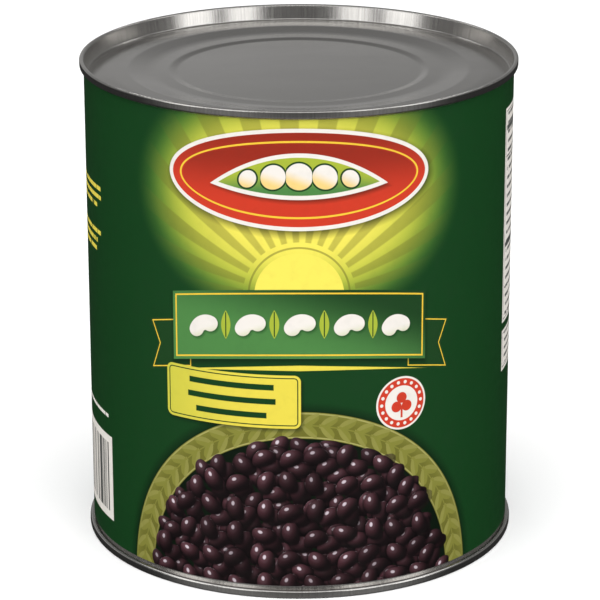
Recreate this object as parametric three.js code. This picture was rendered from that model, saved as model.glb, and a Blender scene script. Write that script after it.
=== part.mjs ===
// Catering-size steel food can, standing upright and shut: the filled body, a double-seamed
// end at the top and at the bottom, and a paper label wrapped round it and lapped at the side.
// Millimetres, +Z up. The origin is the centre of the rim that the can stands on, and the
// front of the label faces -Y.
import * as THREE from "three";

// Driving dimensions
const CAN_HEIGHT = 177.8; // from rim to rim
const SEAM_RADIUS = 78.6; // outside of the double seams
const SEAM_HEIGHT = 3.0; // outer face of a seam
const SEAM_THICKNESS = 1.6; // from a seam's outer face to the wall inside it
const SEAM_ROUNDING = 0.6; // where a seam turns over at its rim
const BODY_RADIUS = 76.5; // steel wall under the label
const PANEL_THICKNESS = 1.0; // under the lowest ring of an end
const FIT_GAP = 0.3; // between pieces that touch

const LABEL_THICKNESS = 0.35;
const LABEL_BOTTOM = 4.3; // leaves a strip of bare steel above the bottom seam
const LAP_THICKNESS = 0.2; // how far the lapped paper stands proud
const LAP_ANGLE = -122; // free edge of the lap, in degrees from the front, + towards +X
const LAP_WIDTH = 12; // of the lapped strip, along the paper

// The pressed face of an end, as flat rings from the seam inwards: the radii that each ring
// lies between, and its depth below the rim
const END_RINGS = [
  { name: "countersink", outer: 75.9, inner: 74.9, depth: 5.5 },
  { name: "outer ring", outer: 73.0, inner: 62.2, depth: 4.3 },
  { name: "middle ring", outer: 60.0, inner: 47.6, depth: 5.25 },
  { name: "centre panel", outer: 45.4, inner: 0, depth: 6.2 },
];

// Fineness of the facets
const ROUND_SEGMENTS = 96;
const ARC_STEPS = 3; // in a quarter turn of a seam's edge
const SLOPE_STEPS = 3; // in the soft slope between two rings

// Worked out from the dimensions above
const END_DEPTH = Math.max(...END_RINGS.map((ring) => ring.depth)) + PANEL_THICKNESS;
const LABEL_INNER_RADIUS = BODY_RADIUS + FIT_GAP;
const LABEL_OUTER_RADIUS = LABEL_INNER_RADIUS + LABEL_THICKNESS;
const LABEL_HEIGHT = CAN_HEIGHT - SEAM_HEIGHT - FIT_GAP - LABEL_BOTTOM;

const TINPLATE = { color: 0xa9a7a3, roughness: 0.35, metalness: 1.0 };
const BARE_WALL = { color: 0x8f8e8c, roughness: 0.4, metalness: 1.0 };
const PRINTED_PAPER = { color: 0x1f4a26, roughness: 0.45, metalness: 0.0 };

// Points of an arc about (centreRadius, centreDepth), from one angle to another in degrees
function arc(centreRadius, centreDepth, radius, from, to) {
  const points = [];
  for (let step = 0; step <= ARC_STEPS; step += 1) {
    const angle = THREE.MathUtils.degToRad(THREE.MathUtils.lerp(from, to, step / ARC_STEPS));
    points.push(
      new THREE.Vector2(
        centreRadius + radius * Math.cos(angle),
        centreDepth + radius * Math.sin(angle),
      ),
    );
  }
  return points;
}

// Points inside a slope that leaves one point and meets the next one level, as pressed steel does
function softSlope(from, to) {
  const points = [];
  for (let step = 1; step < SLOPE_STEPS; step += 1) {
    const along = step / SLOPE_STEPS;
    points.push(
      new THREE.Vector2(
        THREE.MathUtils.lerp(from.x, to.x, along),
        THREE.MathUtils.lerp(from.y, to.y, THREE.MathUtils.smoothstep(along, 0, 1)),
      ),
    );
  }
  return points;
}

// Half section of an end, with heights counted from its rim and the can below it: along the
// hidden underside, up the outside of the seam, over the rim and across the pressed face
function endProfile() {
  const seamInside = SEAM_RADIUS - SEAM_THICKNESS;
  const profile = [
    new THREE.Vector2(0, -END_DEPTH),
    new THREE.Vector2(BODY_RADIUS, -END_DEPTH),
    new THREE.Vector2(BODY_RADIUS, -SEAM_HEIGHT),
    new THREE.Vector2(SEAM_RADIUS - SEAM_ROUNDING, -SEAM_HEIGHT),
    new THREE.Vector2(SEAM_RADIUS, -SEAM_HEIGHT + SEAM_ROUNDING),
    ...arc(SEAM_RADIUS - SEAM_ROUNDING, -SEAM_ROUNDING, SEAM_ROUNDING, 0, 90),
    ...arc(seamInside + SEAM_ROUNDING, -SEAM_ROUNDING, SEAM_ROUNDING, 90, 180),
  ];
  END_RINGS.forEach((ring, index) => {
    const outerEdge = new THREE.Vector2(ring.outer, -ring.depth);
    if (index > 0) {
      profile.push(...softSlope(profile[profile.length - 1], outerEdge));
    }
    profile.push(outerEdge, new THREE.Vector2(ring.inner, -ring.depth));
  });
  return profile;
}

// A solid turned about the can's axis from a half section that starts and ends on it
function turned(profile) {
  return new THREE.LatheGeometry(profile, ROUND_SEGMENTS).rotateX(Math.PI / 2);
}

function topEnd() {
  return turned(endProfile().map((point) => new THREE.Vector2(point.x, CAN_HEIGHT + point.y)));
}

// The same pressing upside down, so the section is also walked the other way
function bottomEnd() {
  return turned(
    endProfile()
      .map((point) => new THREE.Vector2(point.x, -point.y))
      .reverse(),
  );
}

// The body and what fills it, from one end's underside to the other's
function body() {
  const bottom = END_DEPTH + FIT_GAP;
  const top = CAN_HEIGHT - END_DEPTH - FIT_GAP;
  return turned([
    new THREE.Vector2(0, bottom),
    new THREE.Vector2(BODY_RADIUS, bottom),
    new THREE.Vector2(BODY_RADIUS, top),
    new THREE.Vector2(0, top),
  ]);
}

// A point of the label's plan, at an angle in degrees from the front
function planPoint(degrees, radius) {
  const angle = THREE.MathUtils.degToRad(degrees);
  return new THREE.Vector2(radius * Math.sin(angle), -radius * Math.cos(angle));
}

// The paper sleeve. Its outside starts at the lap's free edge, stands proud over the lapped
// strip, eases down to the single layer and runs on round to the same edge.
function label() {
  const lapTurn = THREE.MathUtils.radToDeg(LAP_WIDTH / LABEL_OUTER_RADIUS);
  const outline = [];
  const inside = [];
  for (let segment = 0; segment <= ROUND_SEGMENTS; segment += 1) {
    const turn = (360 * segment) / ROUND_SEGMENTS;
    const proud = LAP_THICKNESS * (1 - THREE.MathUtils.smoothstep(turn, lapTurn / 2, lapTurn));
    outline.push(planPoint(LAP_ANGLE + turn, LABEL_OUTER_RADIUS + proud));
    if (segment < ROUND_SEGMENTS) {
      inside.push(planPoint(LAP_ANGLE + turn, LABEL_INNER_RADIUS));
    }
  }
  const plan = new THREE.Shape(outline);
  plan.holes.push(new THREE.Path(inside));
  return new THREE.ExtrudeGeometry(plan, { depth: LABEL_HEIGHT, bevelEnabled: false });
}

function piece(name, geometry, finish) {
  const mesh = new THREE.Mesh(geometry, new THREE.MeshStandardMaterial(finish));
  mesh.name = name;
  return mesh;
}

const can = new THREE.Group();
can.add(piece("can_body", body(), BARE_WALL));
can.add(piece("top_end", topEnd(), TINPLATE));
can.add(piece("bottom_end", bottomEnd(), TINPLATE));

const paper = piece("paper_label", label(), PRINTED_PAPER);
paper.position.z = LABEL_BOTTOM;
can.add(paper);

export default can;
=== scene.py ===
import math

import bmesh
import bpy
from bpy.props import FloatProperty, FloatVectorProperty, IntProperty, PointerProperty
from mathutils import Matrix, Vector, noise


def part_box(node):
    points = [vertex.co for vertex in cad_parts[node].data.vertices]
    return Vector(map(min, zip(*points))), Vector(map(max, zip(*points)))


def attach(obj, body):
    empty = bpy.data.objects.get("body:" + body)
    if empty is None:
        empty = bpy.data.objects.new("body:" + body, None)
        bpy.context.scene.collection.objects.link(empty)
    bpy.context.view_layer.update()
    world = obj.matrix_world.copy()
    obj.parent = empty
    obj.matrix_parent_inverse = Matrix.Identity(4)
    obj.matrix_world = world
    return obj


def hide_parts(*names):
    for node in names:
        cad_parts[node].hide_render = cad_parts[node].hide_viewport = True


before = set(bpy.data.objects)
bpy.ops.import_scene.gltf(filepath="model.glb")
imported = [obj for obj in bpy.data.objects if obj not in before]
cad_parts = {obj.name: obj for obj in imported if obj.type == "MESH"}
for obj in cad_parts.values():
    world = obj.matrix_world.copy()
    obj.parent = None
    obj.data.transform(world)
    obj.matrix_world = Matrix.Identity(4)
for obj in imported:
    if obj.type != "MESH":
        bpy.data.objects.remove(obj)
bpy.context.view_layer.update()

bl_info = {
    "name": "Canned beans",
    "version": (1, 0, 0),
    "blender": (4, 5, 0),
    "location": "3D View > Sidebar > Canned beans",
    "description": "Dresses a catering-size food can: turned ends, a printed paper label and a studio",
    "category": "Add Mesh",
}

MM = 0.001


# Properties, as short calls

def length(name, description, millimetres):
    """A size in the scene's own metres, whose default is given in millimetres."""
    return FloatProperty(name=name, description=description, default=millimetres * MM, unit="LENGTH")


def ring(name, millimetres):
    """A flat ring pressed into an end: its outer radius, inner radius and depth below the rim."""
    sizes = tuple(size * MM for size in millimetres)
    words = "Outer radius, inner radius and depth below the rim"
    return FloatVectorProperty(name=name, description=words, size=3, default=sizes, unit="LENGTH")


def ink(name, description, screen_colour):
    """A printing ink, given as it shows on a screen, with levels from 0 to 255."""
    return FloatVectorProperty(
        name=name, description=description, subtype="COLOR", size=3, min=0, max=1,
        default=tuple(linear(level) for level in screen_colour),
    )


def linear(level):
    """A screen level from 0 to 255 as the share of light that a surface sends back."""
    share = level / 255
    if share <= 0.04045:
        return share / 12.92
    return ((share + 0.055) / 1.055) ** 2.4


class EndSizes(bpy.types.PropertyGroup):
    """The pressed steel end, which closes the can at the top and at the bottom."""

    seam_height: length("Seam height", "Outer face of the rolled seam", 3.0)
    seam_thickness: length("Seam thickness", "From the seam's outer face to the wall inside it", 1.6)
    rim_rounding: length("Rim rounding", "Where the seam turns over at its rim", 0.6)
    lip_rounding: length("Lip rounding", "Where the seam's lower lip turns in to the wall", 0.95)
    shoulder_rounding: length("Shoulder rounding", "Along the high edge of each step of the face", 0.6)
    foot_rounding: length("Foot rounding", "Along the low edge of each step of the face", 2.2)
    brim_rounding: length("Brim rounding", "Along the outer edge of the outermost ring", 2.6)
    groove_rounding: length("Groove rounding", "Along the bottom of the countersink", 0.42)
    countersink: ring("Countersink", (75.9, 74.9, 5.5))
    outer_ring: ring("Outer ring", (69.0, 61.0, 4.4))
    middle_ring: ring("Middle ring", (53.2, 46.4, 5.25))
    centre_panel: ring("Centre panel", (43.9, 0.0, 5.75))
    ring_fall: length("Ring fall", "How much lower a pressed ring lies at its outer edge", 0.15)
    swell: length("Swell", "How far the centre panel rises to its middle", 0.3)
    unevenness: length("Unevenness", "How far the thin sheet strays from flat", 0.03)
    turns: IntProperty(name="Steps", description="Steps round a turned piece", default=240, min=24)


class LabelSizes(bpy.types.PropertyGroup):
    """The paper sheet, as cut, and how it lies on the can."""

    paper: length("Paper", "Thickness of the sheet", 0.15)
    lap_rise: length("Lap rise", "How far the lapped start stands proud", 0.17)
    lap_width: length("Lap", "How far the sheet's end covers its start", 12.0)
    lap_angle: FloatProperty(
        name="Lap angle", description="The lap's free edge, from the front towards the right",
        default=math.radians(-122), unit="ROTATION",
    )
    ripple: length("Ripple", "How far the wrapped sheet strays from round", 0.05)
    columns: IntProperty(name="Columns", description="Faces along the sheet", default=280, min=24)
    rows: IntProperty(name="Rows", description="Faces up the sheet", default=24, min=2)


class LabelInks(bpy.types.PropertyGroup):
    """The colours of the label's print."""

    field: ink("Field", "Deep green of the whole label", (11, 58, 21))
    meadow: ink("Meadow", "Mid green at the edge of the glow", (62, 106, 35))
    lime: ink("Lime", "Yellow-green inside the glow", (150, 164, 48))
    glow: ink("Glow", "Yellow in the middle of the glow", (218, 206, 82))
    red: ink("Red", "Rim of the cartouche and the badge", (185, 49, 26))
    deep_red: ink("Deep red", "Shaded side of the cartouche", (137, 34, 16))
    cream: ink("Cream", "Light motifs", (213, 208, 201))
    gold: ink("Gold", "Fine lines", (218, 180, 50))
    leaf: ink("Leaf", "Light part of the band", (68, 120, 60))
    leaf_shade: ink("Leaf shade", "Dark part of the band", (21, 60, 24))
    tab: ink("Tab", "Yellow of the tab", (208, 192, 66))
    olive: ink("Olive", "The arch, and fine lines in the glow", (98, 97, 32))
    olive_light: ink("Light olive", "Leaves of the arch", (117, 117, 45))
    stone: ink("Stone", "Fine pale lines of the arch", (150, 146, 84))
    bean: ink("Bean", "Dark skin of the printed beans", (15, 7, 9))
    bean_light: ink("Lit bean", "Where light falls on the printed beans", (80, 42, 50))
    bean_gap: ink("Gap", "Between the printed beans", (3, 1, 2))
    gleam: ink("Gleam", "Highlights on the printed beans", (206, 194, 202))
    shade: ink("Shade", "Under the shapes that are printed as if they stood out", (4, 20, 6))
    mark: ink("Mark", "Dark grey of the small print's bars", (70, 72, 70))


class StudioSizes(bpy.types.PropertyGroup):
    """The floor, lights and camera round the can."""

    floor_radius: FloatProperty(name="Floor", description="Radius", default=9.0, unit="LENGTH")
    camera_elevation: FloatProperty(
        name="Camera elevation", description="Above the horizon",
        default=math.radians(18.71), unit="ROTATION",
    )
    camera_roll: FloatProperty(
        name="Camera roll", description="About the line of sight",
        default=math.radians(-0.12), unit="ROTATION",
    )
    camera_distance: length("Camera distance", "From the point looked at", 1137.1)
    camera_aim: FloatVectorProperty(
        name="Camera aim", description="Point looked at", size=3,
        default=(0.24 * MM, 0.0, 84.75 * MM), unit="LENGTH",
    )
    camera_lens: FloatProperty(name="Lens", description="Focal length in millimetres", default=185.4)


# Shader maths, written as sums

class Number:
    """A number that varies over a surface. A sum written with it adds Math nodes."""

    def __init__(self, finish, socket):
        self.finish = finish
        self.socket = socket

    def __add__(self, other):
        return self.finish.math("ADD", self, other)

    __radd__ = __add__

    def __sub__(self, other):
        return self.finish.math("SUBTRACT", self, other)

    def __rsub__(self, other):
        return self.finish.math("SUBTRACT", other, self)

    def __mul__(self, other):
        return self.finish.math("MULTIPLY", self, other)

    __rmul__ = __mul__

    def __truediv__(self, other):
        return self.finish.math("DIVIDE", self, other)

    def __rtruediv__(self, other):
        return self.finish.math("DIVIDE", other, self)

    def __neg__(self):
        return self * -1

    def __pow__(self, power):
        return self.finish.math("POWER", self, power)

    def __abs__(self):
        return self.finish.math("ABSOLUTE", self)

    def __gt__(self, other):
        return self.finish.math("GREATER_THAN", self, other)

    def __lt__(self, other):
        return self.finish.math("LESS_THAN", self, other)

    def floor(self):
        return self.finish.math("FLOOR", self)

    def root(self):
        return self.finish.math("SQRT", self)

    def sine(self):
        return self.finish.math("SINE", self)

    def cosine(self):
        return self.finish.math("COSINE", self)

    def at_least(self, other):
        return self.finish.math("MAXIMUM", self, other)

    def at_most(self, other):
        return self.finish.math("MINIMUM", self, other)

    def clamped(self):
        """The number, held between 0 and 1."""
        return self.finish.math("ADD", self, 0, clamp=True)

    def wrapped(self, low, high):
        """The number, counted round and round between two ends."""
        return self.finish.math("WRAP", self, high, low)

    def eased(self, low, high):
        """0 below low, 1 above high and a smooth step between them, or the reverse if low is higher."""
        settings = {"interpolation_type": "SMOOTHSTEP"}
        inputs = {"Value": self, "From Min": low, "From Max": high}
        return self.finish.number("ShaderNodeMapRange", settings, inputs)


class Shading:
    """A tree of shader nodes and short ways to add to it."""

    def __init__(self, tree):
        self.tree = tree

    def feed(self, socket, value):
        """Links a number or a socket to a node's input, or sets it to a plain value."""
        if isinstance(value, Number):
            value = value.socket
        if isinstance(value, bpy.types.NodeSocket):
            self.tree.links.new(value, socket)
        elif socket.type == "RGBA" and len(value) == 3:
            socket.default_value = (*value, 1.0)
        else:
            socket.default_value = value

    def node(self, kind, settings, inputs):
        """Adds a node, with its settings made first and then its inputs."""
        made = self.tree.nodes.new(kind)
        for name, value in settings.items():
            setattr(made, name, value)
        for name, value in inputs.items():
            self.feed(made.inputs[name], value)
        return made

    def number(self, kind, settings, inputs, output=0):
        """Adds a node and gives one of its outputs as a number."""
        return Number(self, self.node(kind, settings, inputs).outputs[output])

    def math(self, operation, *values, clamp=False):
        settings = {"operation": operation, "use_clamp": clamp}
        return self.number("ShaderNodeMath", settings, dict(enumerate(values)))

    def parts(self, vector):
        """The three numbers of a vector."""
        split = self.node("ShaderNodeSeparateXYZ", {}, {"Vector": vector})
        return [Number(self, output) for output in split.outputs]

    def vector(self, x, y, z):
        return self.node("ShaderNodeCombineXYZ", {}, {"X": x, "Y": y, "Z": z}).outputs[0]

    def grain(self, vector, scale, detail=2.0, roughness=0.5):
        """Soft noise about 0.5."""
        inputs = {"Vector": vector, "Scale": scale, "Detail": detail, "Roughness": roughness}
        return self.number("ShaderNodeTexNoise", {"noise_dimensions": "3D"}, inputs)

    def random(self, x, y, seed):
        """Three even random numbers for each whole x and y."""
        vector = self.vector(x, y, seed)
        drawn = self.node("ShaderNodeTexWhiteNoise", {"noise_dimensions": "3D"}, {"Vector": vector})
        return self.parts(drawn.outputs["Color"])

    def mixed(self, under, over, share):
        """One colour over another, as far as the share goes."""
        mix = self.node("ShaderNodeMix", {"data_type": "RGBA"}, {0: share, 6: under, 7: over})
        return mix.outputs[2]


class Finish(Shading):
    """One material and the nodes that are written for it."""

    def __init__(self, name, metallic=0.0, roughness=0.5, gloss=0.5):
        self.material = bpy.data.materials.new(name)
        self.material.use_nodes = True
        super().__init__(self.material.node_tree)
        self.shader = self.tree.nodes["Principled BSDF"]
        self.set("Metallic", metallic)
        self.set("Roughness", roughness)
        self.set("Specular IOR Level", gloss)

    def set(self, name, value):
        """Sets or links one of the surface shader's inputs."""
        self.feed(self.shader.inputs[name], value)

    def place(self):
        """Where a point of the surface is on the piece, as a vector."""
        return self.node("ShaderNodeTexCoord", {}, {}).outputs["Object"]

    def bump(self, height, distance):
        """Gives the surface relief, where a height of 1 stands out by a distance in metres."""
        inputs = {"Height": height, "Distance": distance}
        self.set("Normal", self.node("ShaderNodeBump", {}, inputs).outputs["Normal"])


# Mesh helpers

CORNER_ANGLE = math.radians(38)  # two faces that meet at more than this make a sharp edge
ROUNDING_STEPS = 5  # in each rounded corner of a half section
LONGEST_EDGE = 4 * MM  # of a half section, so that wide flat rings can be uneven


def piece_from(bm, name, finishes):
    """Makes an object at the origin from a finished bmesh, smooth but for its true corners."""
    mesh = bpy.data.meshes.new(name)
    bm.to_mesh(mesh)
    bm.free()
    mesh.shade_smooth()
    mesh.set_sharp_from_angle(angle=CORNER_ANGLE)
    for finish in finishes:
        mesh.materials.append(finish.material)
    made = bpy.data.objects.new(name, mesh)
    bpy.context.scene.collection.objects.link(made)
    return made


def even_shading(made):
    """Lets flat faces set the normals that they share with the narrow rounded ones beside them."""
    modifier = made.modifiers.new("even_shading", "WEIGHTED_NORMAL")
    modifier.mode = "FACE_AREA"
    modifier.weight = 50
    modifier.keep_sharp = True


# Steel ends

DENTS_PER_METRE = 24
DENT_SHIFT = Vector((3, 1, 7))  # picks the stretch of noise that the sheet's dents come from
FACE_MARGIN = 0.3 * MM  # below the centre panel, and still above the end's hidden underside


def end_corners(sizes, wall_radius, depth, seam_radius):
    """Half section of an end, from the axis under it, up the seam and back across its face. Each
    corner is its radius, its height counted from the rim, and how far it is rounded."""
    seam_inside = seam_radius - sizes.seam_thickness
    corners = [
        (0.0, -depth, 0.0),
        (wall_radius, -depth, 0.0),
        (wall_radius, -sizes.seam_height, 0.0),
        (seam_radius, -sizes.seam_height, sizes.lip_rounding),
        (seam_radius, 0.0, sizes.rim_rounding),
        (seam_inside, 0.0, sizes.rim_rounding),
    ]
    outer, inner, below = sizes.countersink
    corners.append((outer, -below, sizes.groove_rounding))
    corners.append((inner, -below, sizes.groove_rounding))
    steps = ((sizes.outer_ring, sizes.brim_rounding), (sizes.middle_ring, sizes.foot_rounding))
    for (outer, inner, below), rounding in steps:
        corners.append((outer, -below - sizes.ring_fall, rounding))
        corners.append((inner, -below, sizes.shoulder_rounding))
    outer, inner, below = sizes.centre_panel
    corners.append((outer, -below, sizes.shoulder_rounding))
    corners.append((inner, -below, 0.0))
    return corners


def rounded_wire(bm, corners):
    """Draws a half section as edges and rounds its corners."""
    points = [bm.verts.new((radius, 0.0, height)) for radius, height, _ in corners]
    for start, end in zip(points, points[1:]):
        bm.edges.new((start, end))
    for rounding in sorted({corner[2] for corner in corners} - {0.0}):
        chosen = [point for point, corner in zip(points, corners) if corner[2] == rounding]
        bmesh.ops.bevel(
            bm, geom=chosen, offset=rounding, offset_type="OFFSET", affect="VERTICES",
            segments=ROUNDING_STEPS, profile=0.5, material=-1, clamp_overlap=True,
        )


def cut_long_edges(bm):
    """Divides the half section's long straight edges into even lengths."""
    for edge in list(bm.edges):
        cuts = int(edge.calc_length() / LONGEST_EDGE)
        if cuts:
            bmesh.ops.subdivide_edges(bm, edges=[edge], cuts=cuts)


def shape_face(bm, sizes):
    """Makes the pressed face a little uneven and lets its centre panel swell."""
    face_floor = -sizes.centre_panel[2] - FACE_MARGIN
    for vertex in bm.verts:
        radius = vertex.co.xy.length
        if radius < sizes.outer_ring[0] and vertex.co.z > face_floor:
            rise = noise.noise(vertex.co.xy.to_3d() * DENTS_PER_METRE + DENT_SHIFT)
            vertex.co.z += rise * sizes.unevenness
            vertex.co.z += sizes.swell * max(1 - (radius / sizes.centre_panel[0]) ** 2, 0)


def make_end(name, node, sizes, finish, upside_down):
    """Turns one end about the can's axis and puts it in the place of its solid."""
    low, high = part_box(node)
    wall_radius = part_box("can_body")[1].x
    bm = bmesh.new()
    rounded_wire(bm, end_corners(sizes, wall_radius, high.z - low.z, high.x))
    cut_long_edges(bm)
    bmesh.ops.spin(
        bm, geom=bm.verts[:] + bm.edges[:], cent=(0, 0, 0), axis=(0, 0, 1), angle=math.tau,
        steps=sizes.turns, use_merge=True,
    )
    bmesh.ops.remove_doubles(bm, verts=bm.verts, dist=MM / 1000)
    shape_face(bm, sizes)
    if upside_down:
        bmesh.ops.scale(bm, vec=(1, 1, -1), verts=bm.verts)
        bmesh.ops.translate(bm, vec=(0, 0, low.z), verts=bm.verts)
    else:
        bmesh.ops.translate(bm, vec=(0, 0, high.z), verts=bm.verts)
    bmesh.ops.recalc_face_normals(bm, faces=bm.faces)
    made = piece_from(bm, name, [finish])
    even_shading(made)
    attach(made, "root")
    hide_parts(node)


def tinplate(seam_radius):
    """Satin tinplate: faint turned lines and smears on the face, and roller marks up the seam."""
    finish = Finish("tinplate", metallic=1.0)
    place = finish.place()
    x, y, z = finish.parts(place)
    radius = (x * x + y * y).root()
    around = finish.math("ARCTAN2", y, x) * seam_radius
    face_edge, seam_edge = seam_radius - 3.4 * MM, seam_radius - 2.6 * MM
    on_seam = radius.eased(face_edge, seam_edge)
    mottle = finish.grain(place, 26, detail=3.0, roughness=0.55)
    smears = finish.grain(finish.vector(x * 0.3, y, z), 70, detail=4.0, roughness=0.6)
    lines = finish.grain(finish.vector(radius, 0, 0), 1500, detail=3.0, roughness=0.7)
    marks = finish.grain(finish.vector(around, z * 0.03, 0), 1300, detail=3.0, roughness=0.7)
    dark, light = (0.48, 0.465, 0.445), (0.62, 0.605, 0.58)
    tone = (0.2 + mottle * 0.5 + lines * 0.12) * (1 - on_seam) + marks.eased(0.3, 0.75) * on_seam
    finish.set("Base Color", finish.mixed(dark, light, tone.clamped()))
    finish.set("Roughness", 0.17 + smears * 0.08 + on_seam * (marks - 0.5) * 0.12)
    finish.bump((1 - on_seam) * lines * 0.15 + on_seam * marks, 0.008 * MM)
    return finish


# Bare wall under the label

def bare_wall():
    """Rolled steel, brushed along the way that the sheet was bent. Its colour is kept darker than bare
    steel, which paints in the shade of the narrow strip under the label.
    """
    finish = Finish("bare_wall", metallic=1.0)
    place = finish.place()
    x, y, z = finish.parts(place)
    brushed = finish.grain(finish.vector(x * 0.2, y * 0.2, z), 900, detail=3.0)
    mottle = finish.grain(place, 90, detail=3.0)
    # Steel tones that vary at random, set dark: partly the steel's own tone, partly painted shade for the
    # strip under the label
    dark, light = (0.12, 0.115, 0.105), (0.20, 0.19, 0.175)
    finish.set("Base Color", finish.mixed(dark, light, mottle))
    finish.set("Roughness", 0.16 + brushed * 0.1)
    return finish


# Paper label

PRINTED, BARE = 0, 1  # material slots of the label
SHEET_MAP = "sheet"  # the map that the print is laid out on
RIPPLES_ROUND, RIPPLES_UP = 4, 22  # how close the ripples lie round the sheet and up it


class Sheet:
    """The label's paper as it was cut, and how it lies round the can."""

    def __init__(self, sizes):
        low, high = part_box("paper_label")
        self.sizes = sizes
        self.bottom = low.z
        self.height = high.z - low.z
        self.radius = high.x
        self.width = math.tau * self.radius + sizes.lap_width
        self.left = sizes.lap_angle * self.radius

    def climb(self, along):
        """How far the sheet stands proud, where its lapped start lies over its end."""
        share = min(max(2 - along / self.sizes.lap_width, 0), 1)
        return self.sizes.lap_rise * share * share * (3 - 2 * share)

    def rolled(self, flat):
        """Where a point of the flat sheet goes round the can."""
        turn = self.sizes.lap_angle + flat.x / self.radius
        across, deep = math.cos(turn) * RIPPLES_ROUND, math.sin(turn) * RIPPLES_ROUND
        ripple = noise.noise(Vector((across, deep, flat.y * RIPPLES_UP))) * self.sizes.ripple
        radius = self.radius + flat.z + self.climb(flat.x) + ripple
        return Vector((radius * math.sin(turn), -radius * math.cos(turn), self.bottom + flat.y))


def cut_sheet(sheet):
    """The flat sheet with its thickness, from its lower left corner, printed side up."""
    bm = bmesh.new()
    bm.loops.layers.uv.new(SHEET_MAP)
    half = Vector((sheet.width / 2, sheet.height / 2, 0))
    bmesh.ops.create_grid(
        bm, x_segments=sheet.sizes.columns, y_segments=sheet.sizes.rows, size=1,
        matrix=Matrix.Translation(half) @ Matrix.Diagonal((half.x, half.y, 1, 1)), calc_uvs=True,
    )
    printed = set(bm.faces)
    bmesh.ops.solidify(bm, geom=bm.faces[:], thickness=sheet.sizes.paper)
    for face in bm.faces:
        face.material_index = PRINTED if face in printed else BARE
    return bm


def lay_out_bake(bm, sheet):
    """A second map that fills a square: two strips of print over a thin one of bare paper."""
    layer = bm.loops.layers.uv.new("OFBake")
    foot, strip, gap = 0.03, 0.47, 0.01
    for face in bm.faces:
        row = int(2 * face.calc_center_median().x / sheet.width)
        for loop in face.loops:
            along = loop.vert.co.x / sheet.width
            up = loop.vert.co.y / sheet.height
            if face.material_index == PRINTED:
                across = gap + (1 - 2 * gap) * (2 * along - row)
                loop[layer].uv = (across, foot + gap + (strip + gap) * row + strip * up)
            else:
                loop[layer].uv = (along, foot * up)


def make_label(sizes, inks):
    """Cuts the sheet, rolls it round the can and gives it its print."""
    sheet = Sheet(sizes)
    bm = cut_sheet(sheet)
    lay_out_bake(bm, sheet)
    for vertex in bm.verts:
        vertex.co = sheet.rolled(vertex.co)
    bmesh.ops.recalc_face_normals(bm, faces=bm.faces)
    made = piece_from(bm, "label", [printed_paper(sheet, inks), bare_paper()])
    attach(made, "root")
    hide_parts("paper_label")


def bare_paper():
    """The uncoated back and the cut edges of the sheet."""
    finish = Finish("bare_paper", roughness=0.85)
    fibres = finish.grain(finish.place(), 1400, detail=3.0)
    dark, light = (0.60, 0.58, 0.52), (0.80, 0.78, 0.72)
    finish.set("Base Color", finish.mixed(dark, light, fibres))
    return finish


# Shapes of the print, by the distance from their outlines in millimetres, which is below 0 inside

def oblong(x, y, half_width, half_height, corner=0.0):
    """A rectangle, with round corners if a corner radius is given."""
    if not corner:
        return (abs(x) - half_width).at_least(abs(y) - half_height)
    across = (abs(x) - (half_width - corner)).at_least(0)
    up = (abs(y) - (half_height - corner)).at_least(0)
    return (across * across + up * up).root() - corner


def disc(x, y, radius):
    return (x * x + y * y).root() - radius


def oval(x, y, half_width, half_height):
    """An ellipse, whose distance holds close to its outline."""
    wide, high = x * (1 / half_width), y * (1 / half_height)
    near = (wide * wide + high * high).root()
    wide, high = wide * (1 / half_width), high * (1 / half_height)
    return near * (near - 1) / (wide * wide + high * high).root()


def pointed(x, y, half_length, half_width):
    """A leaf or pod outline with a point at each end."""
    along = x * (1 / half_length)
    return abs(y) - (1 - along * along) * half_width


class Print(Finish):
    """The label's print, laid ink over ink. Places on it are in millimetres: x to the right from
    the middle of the front, round the can, and y up from the can's foot."""

    sharp = 0.14  # how wide the edge of an ink is

    def __init__(self, name, sheet, inks):
        super().__init__(name, gloss=0.15)
        along, up, _ = self.parts(self.node("ShaderNodeUVMap", {"uv_map": SHEET_MAP}, {}).outputs["UV"])
        self.x = along * (sheet.width / MM) + sheet.left / MM
        self.y = up * (sheet.height / MM) + sheet.bottom / MM
        half_round = math.pi * sheet.radius / MM
        self.front_x = self.x.wrapped(-half_round / 2, half_round / 2)
        self.inks = inks
        self.colour = inks.field

    def within(self, distance, softness=sharp):
        """1 inside an outline and 0 outside it."""
        return self.math("MULTIPLY_ADD", distance, -1 / softness, 0.5, clamp=True)

    def lay(self, ink, mask):
        """Prints an ink over what is there, as far as a mask goes."""
        self.colour = self.mixed(self.colour, ink, mask)

    def rule(self, distance, half_width):
        """A fine line along an outline."""
        return self.within(abs(distance) - half_width)


# Places and sizes on the print, in millimetres, with heights counted from the can's foot

GLOW_HEIGHT, GLOW_HALF_WIDTH, GLOW_HALF_HEIGHT = 147, 61, 45
SUN_HEIGHT, SUN_RADIUS = 112, 15.5
RAYS_START = 19.5  # from the middle of the sun
RAYS = 30  # dark ones in a full turn, with a light one after each

PLATE_HEIGHT, PLATE_HALF_WIDTH, PLATE_HALF_HEIGHT = 153.5, 47.0, 18.0
POD_HALF_LENGTH, POD_HALF_WIDTH = 31, 8.2
SEED_PITCH, SEED_RADIUS = 8.8, 4.9

BAND_HEIGHT, BAND_HALF_WIDTH, BAND_HALF_HEIGHT = 102, 46.5, 12.5
TAIL_MIDDLE, TAIL_DROP, TAIL_HALF_SIZE = 48, 6.5, 9.5
STRIPE_DROP = 16.0  # from the band's middle to the stripe under it
MOTIF_PITCH = 17.2  # between the beans on the band
KIDNEY_BEND, KIDNEY_HALF_WIDTH = 3.7, 2.8  # radius of the arc and of the bean about it

TAB_X, TAB_HEIGHT, TAB_HALF_WIDTH, TAB_HALF_HEIGHT, TAB_CORNER = -24.5, 73.5, 25, 9.8, 2.4
BAR_PITCH, BAR_HALF_LENGTH, BAR_HALF_WIDTH = 5.2, 17.5, 1.05

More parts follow.
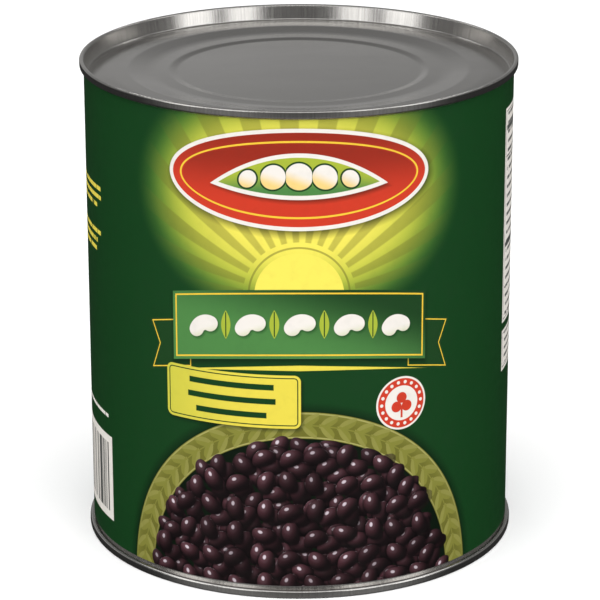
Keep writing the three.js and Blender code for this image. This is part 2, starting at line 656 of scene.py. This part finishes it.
BADGE_X, BADGE_HEIGHT, BADGE_RADIUS = 37, 70, 9.8
BEADS, BEAD_RADIUS, BEAD_INSET = 18, 0.62, 2.05
LOBE_RADIUS = 2.0

HEAP_WIDTH, HEAP_HEIGHT = 57.5, 60.0  # half width and height of the heap's arch
GARLAND_WIDTH = 9.5
LEAF_PITCH = 6.4

BEAN_LENGTH, BEAN_WIDTH = 4.5, 3.1  # half sizes of a printed bean
BEAN_CELL = 9.6  # each square of this size holds one bean of a layer
BEAN_LAYERS = 6
LAYER_SHIFT = (0.37, 0.61)  # of each layer's squares over those under it, as a share of a square
BEAN_STRAY = 0.28  # how far a bean strays from the middle of its square, as a share of it
BEAN_BEND = 0.22  # how far a bean's ends bend to one side, as a share of its half width
BEAN_LIGHT = (-0.34, 0.42, 0.5)  # the printed light's strength from the side, above and in front

SMALL_PRINT_LEFT, SMALL_PRINT_RIGHT = -150, -86
STRIPED_X, STRIPED_HEIGHT, STRIPED_HALF_WIDTH, STRIPED_HALF_HEIGHT = -104, 28.7, 21.4, 16.3
UPRIGHTS_HALF_WIDTH, UPRIGHTS_HALF_HEIGHT, UPRIGHT = 18.2, 13.4, 0.55
TABLE_X, TABLE_HALF_WIDTH = 121, 25


def nearest_of_five(x, pitch):
    """Which of five spots in a row is nearest, from -2 to 2, and x counted from that spot."""
    spot = (x * (1 / pitch) + 0.5).floor().at_least(-2).at_most(2)
    return spot, x - spot * pitch


def print_glow(sheet, x, y):
    """A sun that rises behind the band, with rays that fade out over the green."""
    inks = sheet.inks
    wide, high = x * (1 / GLOW_HALF_WIDTH), (y - GLOW_HEIGHT) * (1 / GLOW_HALF_HEIGHT)
    far = (wide ** 2 + high ** 2).root()
    sheet.lay(inks.meadow, far.eased(1.04, 0.8))
    sheet.lay(inks.lime, far.eased(0.94, 0.62))
    sheet.lay(inks.glow, far.eased(0.86, 0.36))
    up = y - SUN_HEIGHT
    distance = (x * x + up * up).root()
    wedge = (sheet.math("ARCTAN2", up, x) * RAYS).sine() * distance * (1 / RAYS)
    rays = sheet.within(wedge, 0.5) * sheet.within(RAYS_START - distance) * far.eased(1.0, 0.75)
    sheet.lay(inks.olive, rays * 0.45)
    sheet.lay(inks.olive, sheet.rule(distance - SUN_RADIUS - 2.0, 0.35) * 0.6)
    sheet.lay(inks.glow, sheet.within(distance - SUN_RADIUS) * up.eased(-4, 0))


def print_cartouche(sheet, x, y):
    """An oval plate with a pod of five seeds on it."""
    inks = sheet.inks
    up = y - PLATE_HEIGHT
    shadow = oval(x - 0.8, up + 1.2, PLATE_HALF_WIDTH + 0.5, PLATE_HALF_HEIGHT + 0.6)
    sheet.lay(inks.shade, sheet.within(shadow, 3.0) * 0.75)
    rim = oval(x, up, PLATE_HALF_WIDTH, PLATE_HALF_HEIGHT)
    sheet.lay(inks.cream, sheet.within(rim))
    sheet.lay(inks.red, sheet.within(rim + 1.4))
    sheet.lay(inks.deep_red, sheet.within(rim + 1.4) * up.eased(-4, 16))
    sheet.lay(inks.gold, sheet.rule(rim + 4.6, 0.35))
    panel = sheet.within(rim + 5.4)
    sheet.lay(inks.deep_red, panel)
    sheet.lay(inks.red, panel * up.eased(9, -9))
    print_pod(sheet, x, up)


def print_pod(sheet, x, y):
    """An open pod that bends down towards its tips, with five seeds in a row."""
    inks = sheet.inks
    bent = y + x * x * 0.004 - 1.2
    shadow = pointed(x - 0.7, bent + 0.9, POD_HALF_LENGTH, POD_HALF_WIDTH + 0.2)
    sheet.lay(inks.shade, sheet.within(shadow, 1.6) * 0.6)
    pod = pointed(x, bent, POD_HALF_LENGTH, POD_HALF_WIDTH)
    sheet.lay(inks.cream, sheet.within(pod))
    sheet.lay(inks.lime, sheet.within(pod + 1.5))
    sheet.lay(inks.leaf, sheet.within(pod + 1.5) * bent.eased(3, -5))
    spot, seed_x = nearest_of_five(x, SEED_PITCH)
    seed = disc(seed_x, bent, SEED_RADIUS - spot * spot * 0.42)
    sheet.lay(inks.leaf_shade, sheet.within(seed - 0.45))
    sheet.lay(inks.cream, sheet.within(seed + 0.2))
    sheet.lay(inks.gold, sheet.within(seed + 0.2) * (bent + seed_x * 0.4).eased(1.5, -3.5) * 0.75)


def print_band(sheet, x, y):
    """An arched band with tails and a stripe under it, and a row of beans and leaves on it."""
    inks = sheet.inks
    rise = y - BAND_HEIGHT + x * x * 0.0022
    print_tails(sheet, x, rise + TAIL_DROP)
    shadow = oblong(x, rise + 1.2, BAND_HALF_WIDTH + 0.3, BAND_HALF_HEIGHT + 0.3)
    sheet.lay(inks.shade, sheet.within(shadow, 2.2) * 0.6)
    band = oblong(x, rise, BAND_HALF_WIDTH, BAND_HALF_HEIGHT)
    sheet.lay(inks.leaf_shade, sheet.within(band))
    sheet.lay(inks.leaf, sheet.within(band) * (rise + x * 0.3).eased(18, -10))
    sheet.lay(inks.gold, sheet.rule(band + 1.3, 0.28))
    sheet.lay(inks.tab, sheet.within(abs(rise + STRIPE_DROP) - 1.0 + abs(x) * 0.022))
    _, bean_x = nearest_of_five(x, MOTIF_PITCH)
    shadow = kidney(sheet, bean_x - 0.5, rise + 0.7)
    sheet.lay(inks.field, sheet.within(shadow, 1.2) * 0.7)
    bean = kidney(sheet, bean_x, rise)
    sheet.lay(inks.cream, sheet.within(bean))
    sheet.lay(inks.lime, sheet.within(bean) * (rise - bean_x * 0.3).eased(-0.5, -4.5) * 0.4)
    leaf_x = abs(abs(x) - MOTIF_PITCH) - MOTIF_PITCH / 2
    leaf = pointed(rise, leaf_x, 5.2, 1.7)
    sheet.lay(inks.lime, sheet.within(leaf))
    sheet.lay(inks.leaf_shade, sheet.within(abs(leaf_x) - 0.2) * sheet.within(leaf + 0.3))


def print_tails(sheet, x, y):
    """The two ends of the band, which look out from behind it and are notched."""
    inks = sheet.inks
    tail = oblong(abs(x) - TAIL_MIDDLE, y, TAIL_HALF_SIZE, TAIL_HALF_SIZE)
    tail = tail.at_least(abs(x) - 53.5 - abs(y) * 0.4)
    sheet.lay(inks.leaf_shade, sheet.within(tail))
    sheet.lay(inks.field, sheet.within(tail) * abs(x).eased(49, 43))
    sheet.lay(inks.gold, sheet.rule(tail + 1.0, 0.2) * sheet.within(tail))


def kidney(sheet, x, y):
    """A tilted bean: all that is near enough to a short arc."""
    across = abs(x * 0.95 + y * 0.31)
    up = y * 0.95 - x * 0.31 + KIDNEY_BEND * 0.8
    turn = sheet.math("ARCTAN2", across, up).at_most(0.85)
    return disc(across - turn.sine() * KIDNEY_BEND, up - turn.cosine() * KIDNEY_BEND, KIDNEY_HALF_WIDTH)


def print_tab(sheet, x, y):
    """A yellow tab with three dark bars."""
    inks = sheet.inks
    across, up = x - TAB_X, y - TAB_HEIGHT
    shadow = oblong(across - 0.6, up + 0.9, TAB_HALF_WIDTH, TAB_HALF_HEIGHT, corner=TAB_CORNER)
    sheet.lay(inks.shade, sheet.within(shadow, 1.8) * 0.7)
    tab = oblong(across, up, TAB_HALF_WIDTH, TAB_HALF_HEIGHT, corner=TAB_CORNER)
    sheet.lay(inks.tab, sheet.within(tab))
    sheet.lay(inks.lime, sheet.within(tab) * across.eased(12, -34) * 0.5)
    sheet.lay(inks.leaf_shade, sheet.rule(tab + 1.1, 0.2))
    row = (up * (1 / BAR_PITCH) + 0.5).floor()
    half_length = BAR_HALF_LENGTH - abs(row - 0.4) * 3.2
    bar = oblong(across, up - row * BAR_PITCH, half_length, BAR_HALF_WIDTH)
    sheet.lay(inks.field, sheet.within(bar) * sheet.within(abs(up) - 7))


def print_badge(sheet, x, y):
    """A round badge with a trefoil inside a ring of beads."""
    inks = sheet.inks
    across, up = x - BADGE_X, y - BADGE_HEIGHT
    edge = disc(across, up, BADGE_RADIUS)
    sheet.lay(inks.cream, sheet.within(edge))
    sheet.lay(inks.red, sheet.within(edge + 0.7))
    sheet.lay(inks.cream, sheet.within(edge + 3.4))
    turn = sheet.math("ARCTAN2", up, across) * (BEADS / math.tau)
    bead_x = (turn - (turn + 0.5).floor()) * (math.tau * (BADGE_RADIUS - BEAD_INSET) / BEADS)
    sheet.lay(inks.cream, sheet.within(disc(bead_x, edge + BEAD_INSET, BEAD_RADIUS)))
    lobe = disc(across, up - LOBE_RADIUS, LOBE_RADIUS)
    lobe = lobe.at_most(disc(abs(across) - LOBE_RADIUS, up + 1.2, LOBE_RADIUS))
    stem = oblong(across, up + 3.2, 0.4, 2.2)
    sheet.lay(inks.red, sheet.within(lobe.at_most(stem)))


def print_garland(sheet, x, y):
    """An olive arch round the heap, with leaves along it."""
    inks = sheet.inks
    middle = HEAP_WIDTH + GARLAND_WIDTH / 2
    rise = y * (HEAP_WIDTH / HEAP_HEIGHT)
    out = disc(x, rise, middle)
    arch = abs(out) - GARLAND_WIDTH / 2
    sheet.lay(inks.shade, sheet.within(arch - 1.6, 4.0) * 0.75)
    sheet.lay(inks.olive, sheet.within(arch))
    sheet.lay(inks.olive_light, sheet.within(arch) * out.eased(0, 5) * 0.6)
    sheet.lay(inks.stone, sheet.rule(arch + 0.5, 0.25) * rise.eased(-10, 60))
    along = abs(sheet.math("ARCTAN2", rise, x) - math.pi / 2) * middle
    step = along - ((along * (1 / LEAF_PITCH)).floor() + 0.5) * LEAF_PITCH
    for side in (1, -1):
        leaf_x = step * 0.80 + out * side * 0.60 - 1.6
        leaf_y = out * side * 0.80 - step * 0.60 - 1.1
        leaf = pointed(leaf_x, leaf_y, 4.3, 1.6)
        sheet.lay(inks.olive_light, sheet.within(leaf))
        sheet.lay(inks.stone, sheet.within(leaf.at_least(-leaf_y)) * 0.3)
    sheet.lay(inks.olive_light, sheet.within(abs(out) - 0.22))


def print_beans(sheet, x, y):
    """A heap of beans: layers of beans strewn over one another, each one lit from the upper left."""
    inks = sheet.inks
    heap = oval(x, y, HEAP_WIDTH, HEAP_HEIGHT)
    sheet.lay(inks.shade, sheet.within(heap))
    # What shows at a point, layer over layer: the slope of the bean's skin, the bean's own tone,
    # how much light comes down between the beans over it, and whether it is a bean at all
    slope_x, slope_y, tone, light, cover = 0.0, 0.0, 0.3, 0.25, 0.0
    for layer in range(BEAN_LAYERS):
        shift_x, shift_y = LAYER_SHIFT[0] * layer, LAYER_SHIFT[1] * layer
        cell_x = (x * (1 / BEAN_CELL) + shift_x).floor()
        cell_y = (y * (1 / BEAN_CELL) + shift_y).floor()
        drawn = sheet.random(cell_x, cell_y, 3.1 + layer)
        middle_x = (cell_x + 0.5 - shift_x + (drawn[0] - 0.5) * BEAN_STRAY) * BEAN_CELL
        middle_y = (cell_y + 0.5 - shift_y + (drawn[1] - 0.5) * BEAN_STRAY) * BEAN_CELL
        turn = drawn[2] * math.pi
        cosine, sine = turn.cosine(), turn.sine()
        across, up = x - middle_x, y - middle_y
        long_way = (across * cosine + up * sine) * (1 / BEAN_LENGTH)
        wide_way = (up * cosine - across * sine) * (1 / BEAN_WIDTH) + long_way * long_way * BEAN_BEND
        square = long_way * long_way + wide_way * wide_way
        in_heap = sheet.within(oval(middle_x, middle_y, HEAP_WIDTH - 2, HEAP_HEIGHT - 2), 0.1)
        bean = sheet.math("MULTIPLY_ADD", square, -9, 9.3, clamp=True) * in_heap
        halo = square.eased(1.7, 0.9) * in_heap
        slope_x = blended(sheet, slope_x, long_way * cosine - wide_way * sine, bean)
        slope_y = blended(sheet, slope_y, long_way * sine + wide_way * cosine, bean)
        tone = blended(sheet, tone, drawn[0], bean)
        light = blended(sheet, (1 - halo * 0.8) * light, 1.0, bean)
        cover = (bean + cover).clamped() if layer else bean
    lift = (1 - slope_x * slope_x - slope_y * slope_y).at_least(0).root()
    to_x, to_y, to_z = BEAN_LIGHT
    lit = (lift * to_z + slope_y * to_y + slope_x * to_x).at_least(0)
    sheet.lay(inks.bean, cover)
    sheet.lay(inks.bean_light, cover * (lit * lit * (tone * 1.3 + 0.6)).clamped())
    sheet.lay(inks.bean_gap, cover * (1 - light) * 0.92)
    gleam = (slope_x + 0.3) ** 2 + (slope_y - 0.42) ** 2
    sheen = gleam.eased(0.4, 0.02) * 0.03 + gleam.eased(0.055, 0.01) * 0.85
    sheet.lay(inks.gleam, cover * sheen * light * (tone * 0.6 + 0.4))


def blended(sheet, under, over, share):
    """A number that goes from one value to another as a mask goes from 0 to 1."""
    return sheet.number("ShaderNodeMix", {"data_type": "FLOAT"}, {0: share, 2: under, 3: over})


def print_lines(sheet, x, y, ink_colour, pitch, weight, seed, box):
    """Rows of broken bars inside a box, as small print looks from far away. The box is its left,
    right, bottom and top."""
    left, right, bottom, top = box
    row = (y * (1 / pitch)).floor()
    up = y - (row + 0.5) * pitch
    words = sheet.grain(sheet.vector(x * 0.55, row * 7.3, seed), 1.0, detail=1.0)
    end = sheet.random(row, seed, 1.0)[0] * (right - left) * 0.12
    half_width, half_height = (right - left) / 2, (top - bottom) / 2
    inside = sheet.within(oblong(x - (left + right) / 2, y - (bottom + top) / 2, half_width, half_height))
    bars = sheet.within(abs(up) - weight / 2) * words.eased(0.37, 0.40) * inside
    sheet.lay(ink_colour, bars * sheet.within(x - right + end, 0.6))


def print_left_side(sheet, x, y):
    """Yellow and white small print, and a white box of upright bars."""
    inks = sheet.inks
    for bottom, top, seed in ((128.7, 138.6, 2.0), (112.2, 122.1, 5.0)):
        box = (SMALL_PRINT_LEFT, SMALL_PRINT_RIGHT, bottom, top)
        print_lines(sheet, x, y, inks.tab, pitch=3.3, weight=1.6, seed=seed, box=box)
    box = (SMALL_PRINT_LEFT, -78, 51, 54.2)
    print_lines(sheet, x, y, inks.cream, pitch=3.0, weight=1.3, seed=8.0, box=box)
    across, up = x - STRIPED_X, y - STRIPED_HEIGHT
    plate = oblong(across, up, STRIPED_HALF_WIDTH, STRIPED_HALF_HEIGHT)
    sheet.lay(inks.cream, sheet.within(plate))
    uprights = oblong(across, up, UPRIGHTS_HALF_WIDTH, UPRIGHTS_HALF_HEIGHT)
    dark = sheet.random((x * (1 / UPRIGHT)).floor(), 4.0, 2.0)[1] > 0.5
    sheet.lay(inks.mark, dark * sheet.within(uprights))


def print_right_side(sheet, x, y):
    """A white table with rules and bars, and a smaller white box under it."""
    inks = sheet.inks
    for middle, half in ((124.0, 40.0), (73.3, 7.7)):
        across, up = x - TABLE_X, y - middle
        sheet.lay(inks.cream, sheet.within(oblong(across, up, TABLE_HALF_WIDTH, half)))
        frame_line = oblong(across, up, TABLE_HALF_WIDTH - 1.2, half - 1.2)
        sheet.lay(inks.mark, sheet.rule(frame_line, 0.18))
    for height, half_weight in ((156.5, 0.9), (146.0, 0.3), (113.0, 0.9), (97.0, 0.3)):
        rule = oblong(x - TABLE_X, y - height, TABLE_HALF_WIDTH - 2, half_weight)
        sheet.lay(inks.mark, sheet.within(rule))
    print_lines(sheet, x, y, inks.mark, pitch=3.4, weight=1.2, seed=11.0, box=(99.5, 142, 86, 162))
    print_lines(sheet, x, y, inks.mark, pitch=3.0, weight=1.1, seed=14.0, box=(99.5, 142, 67.5, 79.5))


def printed_paper(sheet_of_paper, inks):
    """Coated paper with its whole print. The front's design is printed again on the back."""
    sheet = Print("printed_paper", sheet_of_paper, inks)
    x, y = sheet.front_x, sheet.y
    print_glow(sheet, x, y)
    print_cartouche(sheet, x, y)
    print_band(sheet, x, y)
    print_garland(sheet, x, y)
    print_beans(sheet, x, y)
    print_tab(sheet, x, y)
    print_badge(sheet, x, y)
    print_left_side(sheet, sheet.x, y)
    print_right_side(sheet, sheet.x, y)
    place = sheet.place()
    mottle = sheet.grain(place, 260, detail=3.0)
    fibres = sheet.grain(place, 2200)
    swell = sheet.grain(place, 28, detail=1.0)
    smudge = (0.02, 0.03, 0.02)
    sheet.lay(smudge, (mottle - 0.5).at_least(0) * 0.25)
    sheet.set("Base Color", sheet.colour)
    sheet.set("Roughness", 0.42 + mottle * 0.12)
    sheet.bump(fibres * 0.15 + swell * 4, 0.03 * MM)
    return sheet


# Operators

class CAN_OT_ends(bpy.types.Operator):
    """Turn the two steel ends, each with its rolled seam and pressed rings"""

    bl_idname = "can.ends"
    bl_label = "Steel ends"

    def execute(self, context):
        sizes = context.scene.can_end_sizes
        seam_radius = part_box("top_end")[1].x
        finish = tinplate(seam_radius)
        make_end("lid", "top_end", sizes, finish, upside_down=False)
        make_end("base", "bottom_end", sizes, finish, upside_down=True)
        return {"FINISHED"}


class CAN_OT_wall(bpy.types.Operator):
    """Finish the steel wall that shows in a narrow strip under the label"""

    bl_idname = "can.wall"
    bl_label = "Steel wall"

    def execute(self, context):
        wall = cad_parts["can_body"]
        wall.data.materials.clear()
        wall.data.materials.append(bare_wall().material)
        return {"FINISHED"}


class CAN_OT_label(bpy.types.Operator):
    """Cut the paper sheet, print it and roll it round the can"""

    bl_idname = "can.label"
    bl_label = "Paper label"

    def execute(self, context):
        make_label(context.scene.can_label_sizes, context.scene.can_label_inks)
        return {"FINISHED"}


class CAN_OT_studio(bpy.types.Operator):
    """Set out a pale floor, soft lights and the camera"""

    bl_idname = "can.studio"
    bl_label = "Studio"

    def execute(self, context):
        sizes = context.scene.can_studio_sizes
        lay_floor(sizes)
        hang_lights()
        paint_surroundings()
        set_camera(sizes)
        context.scene.view_settings.view_transform = "Standard"
        return {"FINISHED"}


# Studio

def lay_floor(sizes):
    """Lays a pale round floor, which the steel doesn't mirror."""
    bm = bmesh.new()
    bmesh.ops.create_circle(bm, cap_ends=True, segments=96, radius=sizes.floor_radius)
    finish = Finish("floor", roughness=0.9)
    finish.set("Base Color", (0.93, 0.93, 0.93))
    floor = piece_from(bm, "floor", [finish])
    floor.visible_glossy = False


# Soft lights: azimuth and elevation in degrees, where azimuth 0 is the camera's side, distance,
# width and height in metres, and power in watts
LIGHTS = {
    "left_box": (-32, 15, 1.6, 0.5, 0.7, 1.8),
    "right_box": (32, 15, 1.6, 0.5, 0.7, 1.9),
    "left_side_box": (-60, 15, 1.6, 0.6, 0.7, 2.3),
    "right_side_box": (60, 15, 1.6, 0.6, 0.7, 2.5),
    "front_box": (0, 28, 1.6, 1.0, 1.0, 3.0),
    "overhead_box": (0, 80, 2.2, 3.6, 3.6, 74.0),
    "back_left_box": (-155, 42, 1.7, 0.25, 0.25, 0.8),
    "back_right_box": (155, 42, 1.7, 0.25, 0.25, 0.8),
}
HIDDEN_FROM_STEEL = ("front_box", "overhead_box")
LIT_POINT = Vector((0, 0, 90 * MM))


def hang_lights():
    """Hangs rectangular soft lights that face the can. The steel mirrors only some of them."""
    for name, (azimuth, elevation, distance, width, height, power) in LIGHTS.items():
        light = bpy.data.lights.new(name, "AREA")
        light.shape = "RECTANGLE"
        light.size = width
        light.size_y = height
        light.energy = power
        lamp = bpy.data.objects.new(name, light)
        turn = math.radians(azimuth)
        rise = math.radians(elevation)
        level = Vector((math.sin(turn), -math.cos(turn), 0)) * math.cos(rise)
        away = level + Vector((0, 0, math.sin(rise)))
        lamp.location = LIT_POINT + away * distance
        lamp.rotation_euler = away.to_track_quat("Z", "Y").to_euler()
        lamp.visible_glossy = name not in HIDDEN_FROM_STEEL
        bpy.context.scene.collection.objects.link(lamp)


# How bright the room is that the steel mirrors
WALLS = 0.15
SWEEP, HIGH_SWEEP = 0.22, 0.07  # behind the can, low down and further up
CANOPY = 1.6  # high over the camera's side
CEILING = 0.3
GROUND = 0.035
NEAR_GROUND, FACING_GROUND = 0.2, 0.13  # more of it on the camera's side, and less straight towards it
SEEN_ROOM = 0.95  # what the camera itself sees


def paint_surroundings():
    """A dim room that the steel mirrors, with a brighter sweep behind the can and a canopy over
    the camera's side. The camera itself sees it as pale."""
    world = bpy.data.worlds.new("room")
    world.use_nodes = True
    room = Shading(world.node_tree)
    direction = room.node("ShaderNodeTexCoord", {}, {}).outputs["Generated"]
    across, depth, up = room.parts(direction)
    behind = depth.eased(-0.1, 0.5) * (1 - across * 2.5).at_least(0.5).at_most(1.1)
    sweep = SWEEP * up.eased(0.40, 0.15) * up.eased(0.0, 0.2) + HIGH_SWEEP * up.eased(0.8, 0.3)
    canopy = CANOPY * depth.eased(0.35, 0.0) * up.eased(0.45, 0.6) * up.eased(0.85, 0.7)
    above = WALLS + behind * sweep + canopy + CEILING * up.eased(0.75, 0.97)
    below = GROUND + NEAR_GROUND * depth.eased(0.0, -0.7) - FACING_GROUND * depth.eased(-0.8, -1.0)
    level = below + (above - below) * up.eased(-0.03, 0.03)
    on_camera = room.node("ShaderNodeLightPath", {}, {}).outputs["Is Camera Ray"]
    seen = room.number("ShaderNodeMix", {"data_type": "FLOAT"}, {0: on_camera, 2: level, 3: SEEN_ROOM})
    room.feed(world.node_tree.nodes["Background"].inputs["Color"], seen)
    bpy.context.scene.world = world


def set_camera(sizes):
    """Looks at the can from the front and a little above."""
    lens = bpy.data.cameras.new("camera")
    lens.lens = sizes.camera_lens
    lens.sensor_width = 36
    camera = bpy.data.objects.new("camera", lens)
    rise = sizes.camera_elevation
    away = Vector((0, -math.cos(rise), math.sin(rise)))
    camera.location = Vector(sizes.camera_aim) + away * sizes.camera_distance
    looking = away.to_track_quat("Z", "Y").to_matrix()
    camera.rotation_euler = (looking @ Matrix.Rotation(sizes.camera_roll, 3, "Z")).to_euler()
    bpy.context.scene.collection.objects.link(camera)
    bpy.context.scene.camera = camera


class CAN_PT_parts(bpy.types.Panel):
    """Lists the steps that dress the can"""

    bl_label = "Canned beans"
    bl_idname = "CAN_PT_parts"
    bl_space_type = "VIEW_3D"
    bl_region_type = "UI"
    bl_category = "Canned beans"

    def draw(self, context):
        for step in STEPS:
            self.layout.operator(step.bl_idname)


SETTINGS = {
    "can_end_sizes": EndSizes,
    "can_label_sizes": LabelSizes,
    "can_label_inks": LabelInks,
    "can_studio_sizes": StudioSizes,
}
STEPS = (CAN_OT_ends, CAN_OT_wall, CAN_OT_label, CAN_OT_studio)


def register():
    for made in (*SETTINGS.values(), *STEPS, CAN_PT_parts):
        bpy.utils.register_class(made)
    for name, group in SETTINGS.items():
        setattr(bpy.types.Scene, name, PointerProperty(type=group))


def unregister():
    for name in SETTINGS:
        delattr(bpy.types.Scene, name)
    for made in reversed((*SETTINGS.values(), *STEPS, CAN_PT_parts)):
        bpy.utils.unregister_class(made)


def main():
    """Dresses the can, one step after another."""
    register()
    bpy.ops.can.ends()
    bpy.ops.can.wall()
    bpy.ops.can.label()
    bpy.ops.can.studio()


if __name__ == "__main__":
    main()
